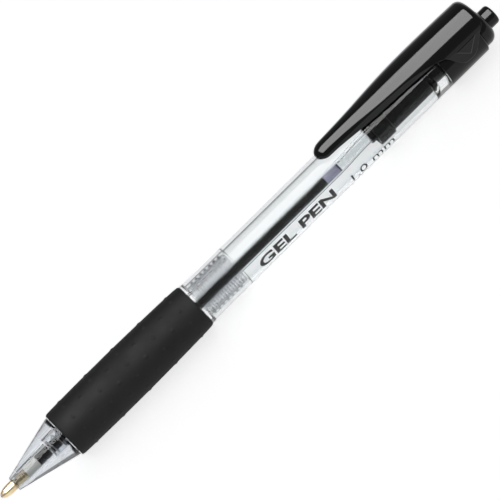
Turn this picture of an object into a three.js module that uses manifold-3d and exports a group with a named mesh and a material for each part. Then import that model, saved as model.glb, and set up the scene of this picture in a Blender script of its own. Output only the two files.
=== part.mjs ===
// A retractable pen with a clear screw-jointed body, a soft grip and a push button.
// Lengths are millimetres. Stations run along the pen's axis from the end of the writing
// ball (0) to the end of the button. Each shape is drawn with X as the station, Y as the height
// towards the clip and Z as the side, and the outer group turns the clip up and sets the grip on
// the ground.
import * as THREE from "three";
import Module from "manifold-3d";
import { mergeVertices } from "three/addons/utils/BufferGeometryUtils.js";

const wasm = await Module();
wasm.setup();

// ---- Driving dimensions -------------------------------------------------------------------
const PEN_LENGTH = 143.5; // ball to button, with the point out
const FIT = 0.05; // gap between fixed pieces
const RUNNING = 0.1; // gap between pieces that move
const ROUND = 36; // sides of a turned outer piece
const FINE_ROUND = 20; // sides of a small turned piece

const BALL_RADIUS = 0.5;
const POINT_RADIUS = 1.15;
const POINT_REAR = 10.6;
const HOLDER_FRONT = 7.25;
const HOLDER_RADIUS = 1.25;
const TUBE_FRONT = 18.3;
const TUBE_REAR = 106.2;
const TUBE_RADIUS = 1.5;
const TUBE_BORE = 0.7;
const INK_REAR = 93.6;
const GREASE_REAR = 97.7;

const NOSE_FRONT = 3.8;
const NOSE_HOLE = 1.28;
const SPRING_SEAT = 14.2; // shoulder in the nose that the spring bears on
const SPRING_CHAMBER = 2.2;
const EAR_FRONT = 33; // wings pressed on the tube that the spring's other end bears on
const GRIP_FRONT = 18.1;
const GRIP_REAR = 56.2;
const GRIP_SEAT = 4.4;
const GRIP_RADIUS = 5.8;
const NUB_HEIGHT = 0.2;
const NUB_RINGS = 9;
const NUBS_PER_RING = 10;
const NUB_FRONT = 22.1; // station of the first ring
const NUB_PITCH = 3.83;
const JOINT = 57.2; // where the front section meets the barrel
const THREAD_END = 67.7;
const THREAD_PITCH = 1.29;
const THREAD_CORE = 3.75;
const THREAD_CREST = 4.15;

const BARREL_RADIUS = 5;
const BARREL_BORE = 4;
const NECK_BORE = 2.45;
const HOUSING_FRONT = 126.9;
const HOUSING_BORE = 3.65;
const NECK_REAR = 132;
const COLLAR_SEAM = 137.6;
const COLLAR_REAR = 140.8;
const COLLAR_RADIUS = 4.35;

const SLEEVE_FRONT = 107.5;
const SLEEVE_BORE = 1.8;
const SLEEVE_COLLAR = 3.55;
const SLEEVE_RADIUS = 3.05;
const SLOT_RADIUS = 2.45;
const SLOT_WIDTH = 1;
const SLOT_REAR = 116;
const CAM_RIBS = 4;

const BUTTON_RADIUS = 2.29;
const BUTTON_FLANGE = 2.8;

const CLIP_TIP = 95.2;
const CLIP_ROOT = 126.7;
const CLIP_REAR = 139.9;
const LOBE_CENTRE = 133;
const CLIP_UNDER = 5.35; // height of the arm's underside over the pen's axis
const CLIP_TOP = 8.4; // the clip's highest point over the pen's axis
const SADDLE_HALF = 5.15; // half the saddle's width
const LOBE_THICK = 0.75;
const TENON = 2; // half the length of the tenon under the saddle
const LOBE_LOW = -0.45; // height of the lobes' lowest point

// ---- Colours ------------------------------------------------------------------------------
const finish = (color, roughness, metalness = 0, opacity = 1) =>
  new THREE.MeshStandardMaterial({ color, roughness, metalness, opacity, transparent: opacity < 1 });
const clearPlastic = finish(0xe6edee, 0.05, 0, 0.35);
const blackGloss = finish(0x0c0c0d, 0.12);
const blackRubber = finish(0x161616, 0.75);
const goldMetal = finish(0xc8ab72, 0.25, 1);
const steel = finish(0xb9bbbd, 0.3, 1);
const milkyPlastic = finish(0xe9e7dd, 0.3, 0, 0.6);
const blackInk = finish(0x070708, 0.2);
const lilacGrease = finish(0xa9a5cf, 0.3);

// ---- Shape helpers ------------------------------------------------------------------------
// A solid of revolution: the profile's [station, radius] points start and end on the axis,
// with the stations growing along the outside.
function turned(profile, sides = ROUND) {
  const points = profile.map(([station, radius]) => new THREE.Vector2(radius, station));
  return new THREE.LatheGeometry(points, sides).rotateZ(-Math.PI / 2);
}

// The same for a hollow piece, whose profile closes on itself: out along the outside, back inside.
const turnedRing = (profile, sides) => turned([...profile, profile[0]], sides);

// A closed surface through rings of [x, y, z] points, each turning from Y to Z as X grows.
function skin(rings) {
  const count = rings[0].length;
  const index = [];
  rings.slice(1).forEach((_, i) => {
    for (let j = 0; j < count; j++) {
      const a = i * count + j;
      const b = i * count + ((j + 1) % count);
      index.push(a, b, b + count, a, b + count, a + count);
    }
  });
  const last = (rings.length - 1) * count;
  for (let j = 1; j < count - 1; j++) {
    index.push(0, j + 1, j, last, last + j, last + j + 1);
  }
  const geometry = new THREE.BufferGeometry();
  geometry.setAttribute("position", new THREE.Float32BufferAttribute(rings.flat(2), 3));
  geometry.setIndex(index);
  return geometry;
}

// A section of [station offset, radius] points carried round the axis, its station following
// path(share) as the share of the whole turning grows from 0 to 1.
function screwed(section, turns, stepsPerTurn, path) {
  const steps = Math.round(turns * stepsPerTurn);
  const rings = Array.from({ length: steps + 1 }, (_, i) => {
    const angle = (2 * Math.PI * turns * i) / steps;
    const station = path(i / steps);
    return section.map(([offset, radius]) => [
      station + offset,
      radius * Math.cos(angle),
      radius * Math.sin(angle),
    ]);
  });
  return skin(rings);
}

function block(x0, x1, y0, y1, z0, z1) {
  const geometry = new THREE.BoxGeometry(x1 - x0, y1 - y0, z1 - z0);
  return geometry.translate((x0 + x1) / 2, (y0 + y1) / 2, (z0 + z1) / 2);
}

function solidOf(geometry) {
  const bare = geometry.clone();
  bare.deleteAttribute("normal");
  bare.deleteAttribute("uv");
  const merged = mergeVertices(bare, 1e-4);
  const mesh = new wasm.Mesh({
    numProp: 3,
    vertProperties: merged.attributes.position.array,
    triVerts: new Uint32Array(merged.index.array),
  });
  return new wasm.Manifold(mesh);
}

function geometryOf(solid) {
  const mesh = solid.getMesh();
  const geometry = new THREE.BufferGeometry();
  geometry.setAttribute("position", new THREE.BufferAttribute(mesh.vertProperties, 3));
  geometry.setIndex(new THREE.BufferAttribute(mesh.triVerts, 1));
  geometry.computeVertexNormals();
  return geometry;
}

// ---- Refill -------------------------------------------------------------------------------
function writingBall() {
  return new THREE.SphereGeometry(BALL_RADIUS, 14, 10).translate(BALL_RADIUS, 0, 0);
}

function pointCone() {
  const socket = BALL_RADIUS + 0.07;
  const channel = 0.45;
  return turnedRing(
    [
      [0.32, 0.53],
      [0.34, 0.6],
      [0.75, 0.79],
      [1.3, 1.0],
      [1.9, 1.12],
      [2.4, POINT_RADIUS],
      [4.3, POINT_RADIUS],
      [4.45, 1.0],
      [4.75, 1.0],
      [4.9, POINT_RADIUS],
      [HOLDER_FRONT - FIT, POINT_RADIUS],
      [HOLDER_FRONT - FIT, 0.95],
      [POINT_REAR, 0.95],
      [POINT_REAR, channel],
      [2.6, channel],
      [2.3, 0.2],
      [1.2, 0.2],
      [1.1, 0.35],
      [0.95, 0.5],
      [BALL_RADIUS, socket],
    ],
    FINE_ROUND,
  );
}

function pointHolder() {
  const inkWell = 0.86;
  return turnedRing(
    [
      [HOLDER_FRONT, 1.0],
      [HOLDER_FRONT, HOLDER_RADIUS],
      [TUBE_FRONT - 1.1, HOLDER_RADIUS],
      [TUBE_FRONT - 0.9, TUBE_RADIUS],
      [TUBE_FRONT - FIT, TUBE_RADIUS],
      [TUBE_FRONT - FIT, TUBE_BORE - FIT],
      [TUBE_FRONT + 3.5, TUBE_BORE - FIT],
      [TUBE_FRONT + 3.5, 0.42],
      [TUBE_FRONT - 1, 0.42],
      [TUBE_FRONT - 1.3, inkWell],
      [POINT_REAR + FIT, inkWell],
      [POINT_REAR + FIT, 1.0],
    ],
    FINE_ROUND,
  );
}

// The tube carries two pressed wings, one on each side, for the spring to push against.
function refillTube() {
  const tube = solidOf(
    turnedRing(
      [
        [TUBE_FRONT, TUBE_BORE],
        [TUBE_FRONT, TUBE_RADIUS],
        [TUBE_REAR, TUBE_RADIUS],
        [TUBE_REAR, TUBE_BORE],
      ],
      FINE_ROUND,
    ),
  );
  const wingReach = SPRING_CHAMBER - 0.2;
  const wings = [-1, 1].map((side) =>
    solidOf(
      block(
        EAR_FRONT,
        EAR_FRONT + 1.6,
        -0.45,
        0.45,
        Math.min(side * 1.1, side * wingReach),
        Math.max(side * 1.1, side * wingReach),
      ),
    ),
  );
  return geometryOf(wings.reduce((whole, wing) => whole.add(wing), tube));
}

function inkFill() {
  const bore = TUBE_BORE - FIT;
  return turned(
    [
      [2.7, 0],
      [2.7, 0.38],
      [POINT_REAR + 0.2, 0.38],
      [POINT_REAR + 0.2, 0.8],
      [TUBE_FRONT - 1.4, 0.8],
      [TUBE_FRONT - 1.1, 0.36],
      [TUBE_FRONT + 3.6, 0.36],
      [TUBE_FRONT + 3.6, bore],
      [INK_REAR, bore],
      [INK_REAR, 0],
    ],
    FINE_ROUND,
  );
}

function greaseFollower() {
  const bore = TUBE_BORE - FIT;
  return turned(
    [
      [INK_REAR + FIT, 0],
      [INK_REAR + FIT, bore],
      [GREASE_REAR, bore],
      [GREASE_REAR - 0.4, 0],
    ],
    FINE_ROUND,
  );
}

// Open coils between a closed coil at each end.
function returnSpring() {
  const wire = 0.17;
  const coilRadius = 1.72;
  const openTurns = 9;
  const closedTurns = 1;
  const turns = openTurns + 2 * closedTurns;
  const front = SPRING_SEAT + wire + FIT;
  const rear = EAR_FRONT - wire - FIT;
  const closedPitch = 2.2 * wire;
  const openLength = rear - front - 2 * closedTurns * closedPitch;
  const path = (share) => {
    const turn = share * turns;
    const opened = THREE.MathUtils.clamp(turn - closedTurns, 0, openTurns);
    return front + (turn - opened) * closedPitch + (opened * openLength) / openTurns;
  };
  const sides = 5;
  const section = Array.from({ length: sides }, (_, i) => {
    const angle = (2 * Math.PI * i) / sides;
    return [wire * Math.cos(angle), coilRadius + wire * Math.sin(angle)];
  });
  return screwed(section, turns, 12, path);
}

// ---- Body ---------------------------------------------------------------------------------
// The helical ridge of the screw joint.
function threadRidge() {
  const base = 0.42;
  const crest = 0.12;
  const foot = THREAD_CORE - FIT;
  const top = THREAD_CREST;
  const lead = 1.2;
  const length = THREAD_END - JOINT - 2 * lead;
  const section = [
    [-base, foot],
    [base, foot],
    [crest, top],
    [-crest, top],
  ];
  return screwed(section, length / THREAD_PITCH, ROUND / 2, (share) => JOINT + lead + share * length);
}

function frontSection() {
  const collarRadius = 5.15;
  const core = turnedRing([
    [NOSE_FRONT, NOSE_HOLE],
    [NOSE_FRONT, 1.58],
    [NOSE_FRONT + 0.15, 1.72],
    [GRIP_FRONT - 0.1, 5.2],
    [GRIP_FRONT - 0.1, GRIP_SEAT],
    [GRIP_REAR + 0.05, GRIP_SEAT],
    [GRIP_REAR + 0.05, collarRadius],
    [JOINT - FIT, collarRadius],
    [JOINT - FIT, THREAD_CORE],
    [THREAD_END - 0.3, THREAD_CORE],
    [THREAD_END, THREAD_CORE - 0.3],
    [THREAD_END, SPRING_CHAMBER + 0.2],
    [TUBE_FRONT + 12, SPRING_CHAMBER],
    [SPRING_SEAT, SPRING_CHAMBER],
    [SPRING_SEAT, 1.45],
    [NOSE_FRONT + 2.1, 1.45],
    [NOSE_FRONT + 1.9, NOSE_HOLE],
  ]);
  return geometryOf(solidOf(core).add(solidOf(threadRidge())));
}

// The grip's outside, as [station, radius] points.
const GRIP_OUTLINE = [
  [GRIP_FRONT, 5.45],
  [GRIP_FRONT + 0.3, 5.6],
  [GRIP_FRONT + 3, 5.74],
  [28, GRIP_RADIUS],
  [40, GRIP_RADIUS],
  [46, 5.68],
  [52, 5.54],
  [GRIP_REAR - 0.9, 5.4],
  [GRIP_REAR - 0.2, 5.28],
  [GRIP_REAR, 5.1],
];

function gripRadius(station) {
  const next = GRIP_OUTLINE.findIndex(([x]) => x > station);
  const [x0, r0] = GRIP_OUTLINE[next - 1];
  const [x1, r1] = GRIP_OUTLINE[next];
  return r0 + ((r1 - r0) * (station - x0)) / (x1 - x0);
}

// Rings of low nubs, every other ring turned by half a step. The middle nubs are the widest.
function gripNubs() {
  const step = (2 * Math.PI) / NUBS_PER_RING;
  const sunk = 0.15;
  return Array.from({ length: NUB_RINGS * NUBS_PER_RING }, (_, i) => {
    const ring = Math.floor(i / NUBS_PER_RING);
    const station = NUB_FRONT + ring * NUB_PITCH;
    const radius = 0.5 + 0.15 * Math.sin((Math.PI * ring) / (NUB_RINGS - 1));
    const height = NUB_HEIGHT + sunk;
    const nub = new THREE.CylinderGeometry(0.6 * radius, radius, height, 6);
    nub.translate(station, gripRadius(station) - sunk + height / 2, 0);
    return solidOf(nub.rotateX(step * (i + (ring % 2) / 2)));
  });
}

function gripSleeve() {
  const bore = GRIP_SEAT + FIT;
  const sleeve = turnedRing([[GRIP_FRONT, bore], ...GRIP_OUTLINE, [GRIP_REAR, bore]]);
  return geometryOf(solidOf(sleeve).add(wasm.Manifold.union(gripNubs())));
}

function barrel() {
  const femaleBore = THREAD_CREST + RUNNING;
  return turnedRing([
    [JOINT, femaleBore],
    [JOINT, 5.1],
    [JOINT + 1.8, 5.05],
    [JOINT + 4.5, BARREL_RADIUS],
    [HOUSING_FRONT - FIT, BARREL_RADIUS],
    [HOUSING_FRONT - FIT, HOUSING_BORE - FIT],
    [NECK_REAR, HOUSING_BORE - FIT],
    [NECK_REAR, NECK_BORE],
    [HOUSING_FRONT - 2.5, NECK_BORE],
    [HOUSING_FRONT - 4.3, BARREL_BORE],
    [THREAD_END + 0.6, BARREL_BORE],
    [THREAD_END + 0.3, femaleBore],
  ]);
}

// ---- Push mechanism -----------------------------------------------------------------------
// Blocks spaced evenly round the axis, from one radius out to another.
function spokes(x0, x1, inner, outer, width, count) {
  return Array.from({ length: count }, (_, i) =>
    solidOf(
      block(x0, x1, inner, outer, -width / 2, width / 2).rotateX((2 * Math.PI * i) / count),
    ),
  );
}

// Saw teeth round the axis: each is a wedge that rises from its low end to its high end.
function crownTeeth(base, height, inner, outer, count) {
  const span = (2 * Math.PI) / count;
  const gap = 0.12;
  return Array.from({ length: count }, (_, i) => {
    const ring = (share, rise) => {
      const angle = span * (i + gap + share * (1 - 2 * gap));
      const point = (station, radius) => [
        station,
        radius * Math.cos(angle),
        radius * Math.sin(angle),
      ];
      return [point(base, inner), point(base, outer), point(base - rise, outer), point(base - rise, inner)];
    };
    return solidOf(skin([ring(0, 0.1), ring(0.5, height / 2), ring(1, height)].map((r) => r.reverse())));
  });
}

function camSleeve() {
  const mouth = SLEEVE_FRONT + 0.7;
  const neck = NECK_BORE - RUNNING;
  const tube = turnedRing(
    [
      [SLEEVE_FRONT, SLOT_RADIUS],
      [SLEEVE_FRONT, SLEEVE_COLLAR],
      [SLEEVE_FRONT + 3.9, SLEEVE_COLLAR],
      [SLEEVE_FRONT + 4.1, SLEEVE_RADIUS],
      [HOUSING_FRONT - 3.8, SLEEVE_RADIUS],
      [HOUSING_FRONT - 3.1, neck],
      [NECK_REAR + 0.9, neck],
      [NECK_REAR + 0.9, SLEEVE_BORE],
      [mouth, SLEEVE_BORE],
      [mouth, SLOT_RADIUS],
    ],
    ROUND,
  );
  const slots = spokes(SLEEVE_FRONT - 1, SLOT_REAR, 1, SLOT_RADIUS, SLOT_WIDTH, CAM_RIBS);
  return geometryOf(slots.reduce((whole, slot) => whole.subtract(slot), solidOf(tube)));
}

// The rotor turns one step at each press. Its ribs run in the sleeve's slots.
function camRotor() {
  const discFront = TUBE_REAR + RUNNING;
  const discRear = discFront + 1;
  const body = turned(
    [
      [TUBE_REAR - 2, 0],
      [TUBE_REAR - 2, TUBE_BORE - RUNNING],
      [discFront, TUBE_BORE - RUNNING],
      [discFront, SLEEVE_BORE - RUNNING],
      [discRear, SLEEVE_BORE - RUNNING],
      [discRear, 0.85],
      [discRear + 7.5, 0.85],
      [discRear + 8, 0.5],
      [discRear + 8, 0],
    ],
    FINE_ROUND,
  );
  const ribs = spokes(discFront, discRear + 0.4, 0.6, SLOT_RADIUS - RUNNING, SLOT_WIDTH - 0.2, CAM_RIBS);
  return geometryOf(ribs.reduce((whole, rib) => whole.add(rib), solidOf(body)));
}

function pushButton() {
  const front = SLEEVE_FRONT + 1.1;
  const bore = 1;
  const flangeFront = NECK_REAR + 2.2;
  const flangeRear = flangeFront + 0.4;
  const stalk = solidOf(
    turned(
      [
        [front + 9.5, 0],
        [front + 9.5, bore],
        [front, bore],
        [front, SLEEVE_BORE - RUNNING],
        [flangeFront, SLEEVE_BORE - RUNNING],
        [flangeFront, BUTTON_FLANGE],
        [flangeRear, BUTTON_FLANGE],
        [flangeRear, BUTTON_RADIUS],
        [PEN_LENGTH - 0.6, BUTTON_RADIUS],
        [PEN_LENGTH - 0.2, BUTTON_RADIUS - 0.2],
        [PEN_LENGTH, BUTTON_RADIUS - 0.6],
        [PEN_LENGTH, 0],
      ],
      ROUND,
    ),
  );
  const splines = spokes(front, front + 2, 1.3, SLOT_RADIUS - RUNNING, SLOT_WIDTH - 0.2, CAM_RIBS);
  const teeth = crownTeeth(front + FIT, 0.55, bore + 0.1, SLEEVE_BORE - 2 * RUNNING, 2 * CAM_RIBS);
  return geometryOf([...splines, ...teeth].reduce((whole, piece) => whole.add(piece), stalk));
}

// ---- Rear housing and clip ----------------------------------------------------------------
// The clip seen from the side: the arm's underside, then the lobe that grips the housing.
function clipOutline(grow) {
  const under = CLIP_UNDER - grow;
  const low = LOBE_LOW - grow;
  const high = CLIP_TOP + 2;
  const outline = new THREE.Shape();
  outline.moveTo(CLIP_TIP - 0.2, high);
  outline.lineTo(CLIP_TIP - 0.2, 6.6);
  outline.quadraticCurveTo(CLIP_TIP + 0.1, under, CLIP_TIP + 2.2, under);
  const front = LOBE_CENTRE - grow;
  const rear = LOBE_CENTRE + grow;
  outline.lineTo(front - 5.8, under);
  outline.bezierCurveTo(front - 4.9, under, front - 4, 3.9, front - 3.2, 2.1);
  outline.bezierCurveTo(front - 2.5, 0.6, LOBE_CENTRE - 1.8, low, LOBE_CENTRE, low);
  outline.bezierCurveTo(LOBE_CENTRE + 1.6, low, rear + 2.8, 0.4, rear + 3.8, 2.1);
  outline.bezierCurveTo(rear + 4.6, 3.5, rear + 5.7, 4.6, CLIP_REAR + grow, 5.6);
  outline.lineTo(CLIP_REAR + grow, high);
  outline.closePath();
  return outline;
}

function clipPrism(grow, halfWidth) {
  const options = { depth: 2 * halfWidth, bevelEnabled: false, curveSegments: 6 };
  return new THREE.ExtrudeGeometry(clipOutline(grow), options).translate(0, 0, -halfWidth);
}

// Half width, top height and crown radius of the clip at a station: smooth lines through a few
// stations, rounded off like an ellipse at both ends.
const clipHalfWidth = new THREE.SplineCurve([
  new THREE.Vector2(CLIP_TIP, 2.15),
  new THREE.Vector2(CLIP_TIP + 9, 2.6),
  new THREE.Vector2(CLIP_TIP + 18, 3.3),
  new THREE.Vector2(CLIP_TIP + 27, 4.15),
  new THREE.Vector2(CLIP_TIP + 34, SADDLE_HALF),
]);
const clipTop = new THREE.SplineCurve([
  new THREE.Vector2(CLIP_TIP, 7.8),
  new THREE.Vector2(CLIP_TIP + 12, 8.05),
  new THREE.Vector2(CLIP_TIP + 24, CLIP_TOP),
  new THREE.Vector2(CLIP_TIP + 35, 8.3),
  new THREE.Vector2(CLIP_REAR, 8),
]);
const clipCrown = new THREE.SplineCurve([
  new THREE.Vector2(CLIP_TIP, 2.25),
  new THREE.Vector2(CLIP_TIP + 9.5, 3),
  new THREE.Vector2(CLIP_TIP + 18, 4.4),
  new THREE.Vector2(CLIP_TIP + 26, 5.2),
  new THREE.Vector2(CLIP_TIP + 34, 5.3),
]);

// The value of a curve at a station, and its end value past either end.
function at(curve, station) {
  const first = curve.points[0].x;
  const last = curve.points[curve.points.length - 1].x;
  const wanted = THREE.MathUtils.clamp(station, first, last);
  let low = 0;
  let high = 1;
  for (let i = 0; i < 24; i++) {
    const middle = (low + high) / 2;
    if (curve.getPoint(middle).x < wanted) low = middle;
    else high = middle;
  }
  return curve.getPoint(low).y;
}

// One ring of the crowned bar: over the crown from side to side, and down both sides.
function clipRing(station, inset, foot) {
  const tipRound = 2.3;
  const rearRound = 1.7;
  const nearEnd = Math.max(
    (CLIP_TIP + tipRound - station) / tipRound,
    (station - CLIP_REAR + rearRound) / rearRound,
    0,
  );
  const full = Math.sqrt(Math.max(1 - nearEnd * nearEnd, 0.01));
  const atTip = station < CLIP_ROOT;
  const middle = atTip ? 6.4 : 6;
  const half = at(clipHalfWidth, station) * (atTip ? full : 0.82 + 0.18 * full) - inset;
  const top = middle + (at(clipTop, station) - middle) * full - inset;
  const radius = Math.max(at(clipCrown, station) * (atTip ? full : 1) - inset, half * 1.001);
  const edge = Math.asin(half / radius);
  const steps = 10;
  const crown = Array.from({ length: steps + 1 }, (_, i) => {
    const angle = edge * ((2 * i) / steps - 1);
    return [station, top - radius + radius * Math.cos(angle), radius * Math.sin(angle)];
  });
  return [...crown, [station, foot, half], [station, foot, -half]];
}

function crownedBar(from, to, steps, inset, foot) {
  const rings = Array.from({ length: steps + 1 }, (_, i) => {
    const share = i / steps;
    const eased = (1 - Math.cos(Math.PI * share)) / 2;
    return clipRing(from + (to - from) * eased, inset, foot);
  });
  return solidOf(skin(rings));
}

function wholeClip() {
  const bar = crownedBar(CLIP_TIP, CLIP_REAR, 34, 0, LOBE_LOW - 1);
  return bar.intersect(solidOf(clipPrism(0, SADDLE_HALF + 1)));
}

// The arm is cored underneath, and a round pad at its free end rests on the barrel.
function clipArm() {
  const wall = 1.15;
  const padReach = CLIP_UNDER - BARREL_RADIUS - FIT;
  const reach = solidOf(block(CLIP_TIP - 1, CLIP_ROOT - 0.3, 4, CLIP_TOP + 1, -6, 6));
  const core = crownedBar(CLIP_TIP + 8, CLIP_ROOT - 1.6, 12, wall, CLIP_UNDER - 1);
  const pad = solidOf(
    new THREE.SphereGeometry(1, 16, 10)
      .scale(1.7, 0.5 + padReach, 1.3)
      .translate(CLIP_TIP + 3.6, CLIP_UNDER + 0.5, 0),
  );
  return geometryOf(wholeClip().intersect(reach).subtract(core).add(pad));
}

// The saddle wraps over the housing with a lobe down each side and a tenon in its slot.
function clipSaddle() {
  const reach = solidOf(block(CLIP_ROOT, CLIP_REAR + 1, -2, CLIP_TOP + 1, -6, 6));
  const over = BARREL_RADIUS + FIT;
  const round = turned([
    [CLIP_ROOT - 1, 0],
    [CLIP_ROOT - 1, over],
    [CLIP_REAR + 1, over],
    [CLIP_REAR + 1, 0],
  ]);
  const inside = SADDLE_HALF - LOBE_THICK;
  const flats = solidOf(block(CLIP_ROOT - 2, CLIP_REAR + 2, -6, 6, -inside, inside));
  const tenon = solidOf(
    block(LOBE_CENTRE - TENON, LOBE_CENTRE + TENON, 4.3, BARREL_RADIUS + 1, -1.2, 1.2),
  );
  return geometryOf(
    wholeClip().intersect(reach).subtract(solidOf(round).intersect(flats)).add(tenon),
  );
}

function rearHousing() {
  const shell = turnedRing([
    [HOUSING_FRONT, HOUSING_BORE],
    [HOUSING_FRONT, BARREL_RADIUS - 0.1],
    [HOUSING_FRONT + 0.15, BARREL_RADIUS],
    [COLLAR_SEAM - 0.3, BARREL_RADIUS],
    [COLLAR_SEAM, BARREL_RADIUS - 0.2],
    [COLLAR_SEAM, HOUSING_BORE],
  ]);
  const floor = SADDLE_HALF - LOBE_THICK - RUNNING;
  const slab = solidOf(block(CLIP_ROOT - 1, CLIP_REAR, -4, 6, -floor, floor));
  const pockets = solidOf(clipPrism(0.12, SADDLE_HALF + 1)).subtract(slab);
  const slotHalf = TENON + RUNNING;
  const slot = solidOf(block(LOBE_CENTRE - slotHalf, LOBE_CENTRE + slotHalf, 4.2, 6, -1.3, 1.3));
  return geometryOf(solidOf(shell).subtract(pockets).subtract(slot));
}

function rearCollar() {
  const hole = BUTTON_RADIUS + RUNNING;
  const bore = BUTTON_FLANGE + RUNNING;
  return turnedRing([
    [NECK_REAR + 1, bore],
    [NECK_REAR + 1, HOUSING_BORE - FIT],
    [COLLAR_SEAM + FIT, HOUSING_BORE - FIT],
    [COLLAR_SEAM + FIT, COLLAR_RADIUS],
    [COLLAR_REAR - 1.6, COLLAR_RADIUS],
    [COLLAR_REAR - 0.8, 4.05],
    [COLLAR_REAR - 0.25, 3.5],
    [COLLAR_REAR, 2.95],
    [COLLAR_REAR, hole],
    [COLLAR_REAR - 1.1, hole],
    [COLLAR_REAR - 1.1, bore],
  ]);
}

// ---- Assembly -----------------------------------------------------------------------------
const pieces = [
  ["writing_ball", writingBall(), steel],
  ["point_cone", pointCone(), goldMetal],
  ["point_holder", pointHolder(), milkyPlastic],
  ["refill_tube", refillTube(), clearPlastic],
  ["ink_fill", inkFill(), blackInk],
  ["grease_follower", greaseFollower(), lilacGrease],
  ["return_spring", returnSpring(), steel],
  ["front_section", frontSection(), clearPlastic],
  ["grip_sleeve", gripSleeve(), blackRubber],
  ["barrel", barrel(), clearPlastic],
  ["cam_sleeve", camSleeve(), blackGloss],
  ["cam_rotor", camRotor(), blackGloss],
  ["push_button", pushButton(), blackGloss],
  ["rear_housing", rearHousing(), blackGloss],
  ["rear_collar", rearCollar(), blackGloss],
  ["clip_saddle", clipSaddle(), blackGloss],
  ["clip_arm", clipArm(), blackGloss],
];

// The point looks towards -X and the clip towards +Z.
const pen = new THREE.Group();
pen.rotation.x = Math.PI / 2;
pen.position.set(-PEN_LENGTH / 2, 0, GRIP_RADIUS + NUB_HEIGHT);
pieces.forEach(([name, geometry, material]) => {
  const mesh = new THREE.Mesh(geometry, material);
  mesh.name = name;
  pen.add(mesh);
});

const part = new THREE.Group();
part.add(pen);

export default part;
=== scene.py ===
"""Looks of a retractable gel pen: clear body, soft dotted grip, push button and pocket clip.

Every piece is a smooth surface around the pen's axis. Its place is given by a station, the
distance in millimetres from the end of the writing ball, by a radius, and by an angle that
starts at the clip and grows towards the side that faces the camera.
"""

import logging
from dataclasses import dataclass
from enum import Enum
from typing import Any

import bmesh
import bpy
import numpy as np
from mathutils import Matrix, Vector


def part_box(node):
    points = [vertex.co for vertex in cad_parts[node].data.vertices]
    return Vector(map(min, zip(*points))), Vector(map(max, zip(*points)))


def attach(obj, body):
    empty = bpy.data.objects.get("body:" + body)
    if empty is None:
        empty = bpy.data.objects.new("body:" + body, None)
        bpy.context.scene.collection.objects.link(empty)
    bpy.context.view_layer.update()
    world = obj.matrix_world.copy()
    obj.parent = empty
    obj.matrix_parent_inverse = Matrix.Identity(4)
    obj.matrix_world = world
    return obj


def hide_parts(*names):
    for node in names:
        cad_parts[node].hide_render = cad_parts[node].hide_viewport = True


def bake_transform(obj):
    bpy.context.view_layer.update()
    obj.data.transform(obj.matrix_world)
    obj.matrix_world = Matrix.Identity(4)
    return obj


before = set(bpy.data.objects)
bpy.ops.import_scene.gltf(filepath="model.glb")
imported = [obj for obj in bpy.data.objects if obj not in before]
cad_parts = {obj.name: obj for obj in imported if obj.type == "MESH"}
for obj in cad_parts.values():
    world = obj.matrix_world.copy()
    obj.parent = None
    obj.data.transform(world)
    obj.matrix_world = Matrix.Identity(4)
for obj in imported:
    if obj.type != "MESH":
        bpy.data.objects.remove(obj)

LOG = logging.getLogger("gel_pen")
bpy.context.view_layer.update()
MM = 0.001
TURN = 2 * np.pi
Array = np.ndarray
Triple = tuple[float, float, float]
Mesh = bpy.types.Mesh
Material = bpy.types.Material


# ---- Shader writing -----------------------------------------------------------------------
class Wire:
    """A number that a socket carries. Python arithmetic on it adds Math nodes."""

    def __init__(self, recipe: "Recipe", socket: bpy.types.NodeSocket) -> None:
        """Wraps an output socket of a recipe."""
        self.recipe = recipe
        self.socket = socket

    def __add__(self, other: Any) -> "Wire":
        """self + other."""
        return self.recipe.math("ADD", self, other)

    def __radd__(self, other: Any) -> "Wire":
        """other + self."""
        return self.recipe.math("ADD", other, self)

    def __sub__(self, other: Any) -> "Wire":
        """self - other."""
        return self.recipe.math("SUBTRACT", self, other)

    def __rsub__(self, other: Any) -> "Wire":
        """other - self."""
        return self.recipe.math("SUBTRACT", other, self)

    def __mul__(self, other: Any) -> "Wire":
        """self * other."""
        return self.recipe.math("MULTIPLY", self, other)

    def __rmul__(self, other: Any) -> "Wire":
        """other * self."""
        return self.recipe.math("MULTIPLY", other, self)

    def __truediv__(self, other: Any) -> "Wire":
        """self / other."""
        return self.recipe.math("DIVIDE", self, other)

    def __pow__(self, other: Any) -> "Wire":
        """self ** other."""
        return self.recipe.math("POWER", self, other)


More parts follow.
